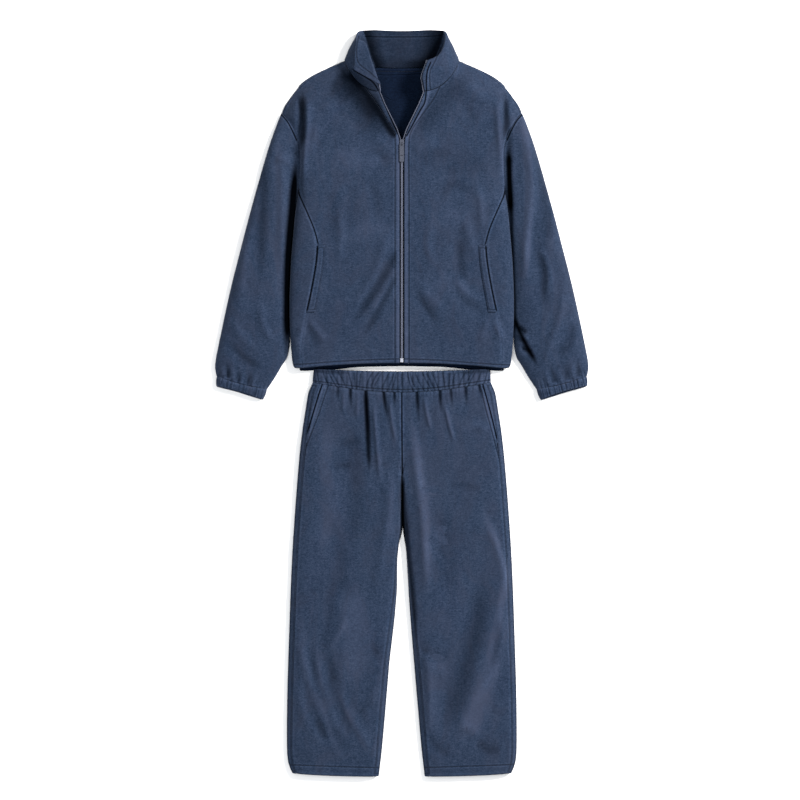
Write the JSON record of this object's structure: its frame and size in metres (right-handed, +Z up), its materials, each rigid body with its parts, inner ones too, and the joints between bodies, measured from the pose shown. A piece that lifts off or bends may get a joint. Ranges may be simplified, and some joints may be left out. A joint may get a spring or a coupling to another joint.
{
  "type": "pajama set",
  "caption": "Stand-collar zip fleece jacket with gathered cuffs, laid flat above straight trousers with a gathered elastic waist.",
  "frame": {"origin": "centre of the set's outline box, on the surface it lies on", "axes": "+X to the right as the set is seen from above, +Y towards the collar, +Z up out of the surface through the front"},
  "size_m": [0.804, 1.6042, 0.0492],
  "materials": {
    "fleece": "brushed fleece, slate navy",
    "fleece_side": "brushed fleece, slate navy",
    "fleece_back": "brushed fleece, slate navy",
    "fleece_band": "gathered brushed fleece, slate navy",
    "zip_tape": "woven tape, navy",
    "zip_teeth": "moulded coil, grey blue",
    "zip_metal": "satin grey metal"
  },
  "bodies": {
    "garment": {"collar": "fleece_band", "cuff_left": "fleece_band", "cuff_right": "fleece_band", "jacket_back": "fleece_back", "jacket_front_left": "fleece", "jacket_front_right": "fleece", "jacket_side_left": "fleece_side", "jacket_side_right": "fleece_side", "pants_back_left": "fleece_back", "pants_back_right": "fleece_back", "pants_front_left": "fleece", "pants_front_right": "fleece", "pocket_facing_left": "fleece_side", "pocket_facing_right": "fleece_side", "sleeve_left": "fleece", "sleeve_right": "fleece", "waistband": "fleece_band", "welt_left": "fleece_band", "welt_right": "fleece_band", "zip_bottom_stop": "zip_metal", "zip_slider": "zip_metal", "zip_tape_left": "zip_tape", "zip_tape_right": "zip_tape", "zip_teeth_closed": "zip_teeth", "zip_teeth_left": "zip_teeth", "zip_teeth_right": "zip_teeth", "zip_top_stop_left": "zip_metal", "zip_top_stop_right": "zip_metal"},
    "pull": {"zip_pull": "zip_metal"}
  },
  "joints": [
    {"name": "pull_hinge", "type": "hinge", "parent": "garment", "child": "pull", "pos_m": [0, 0.5582, 0.02807], "axis": [-1, 0, 0], "range_deg": [0, 170]}
  ]
}
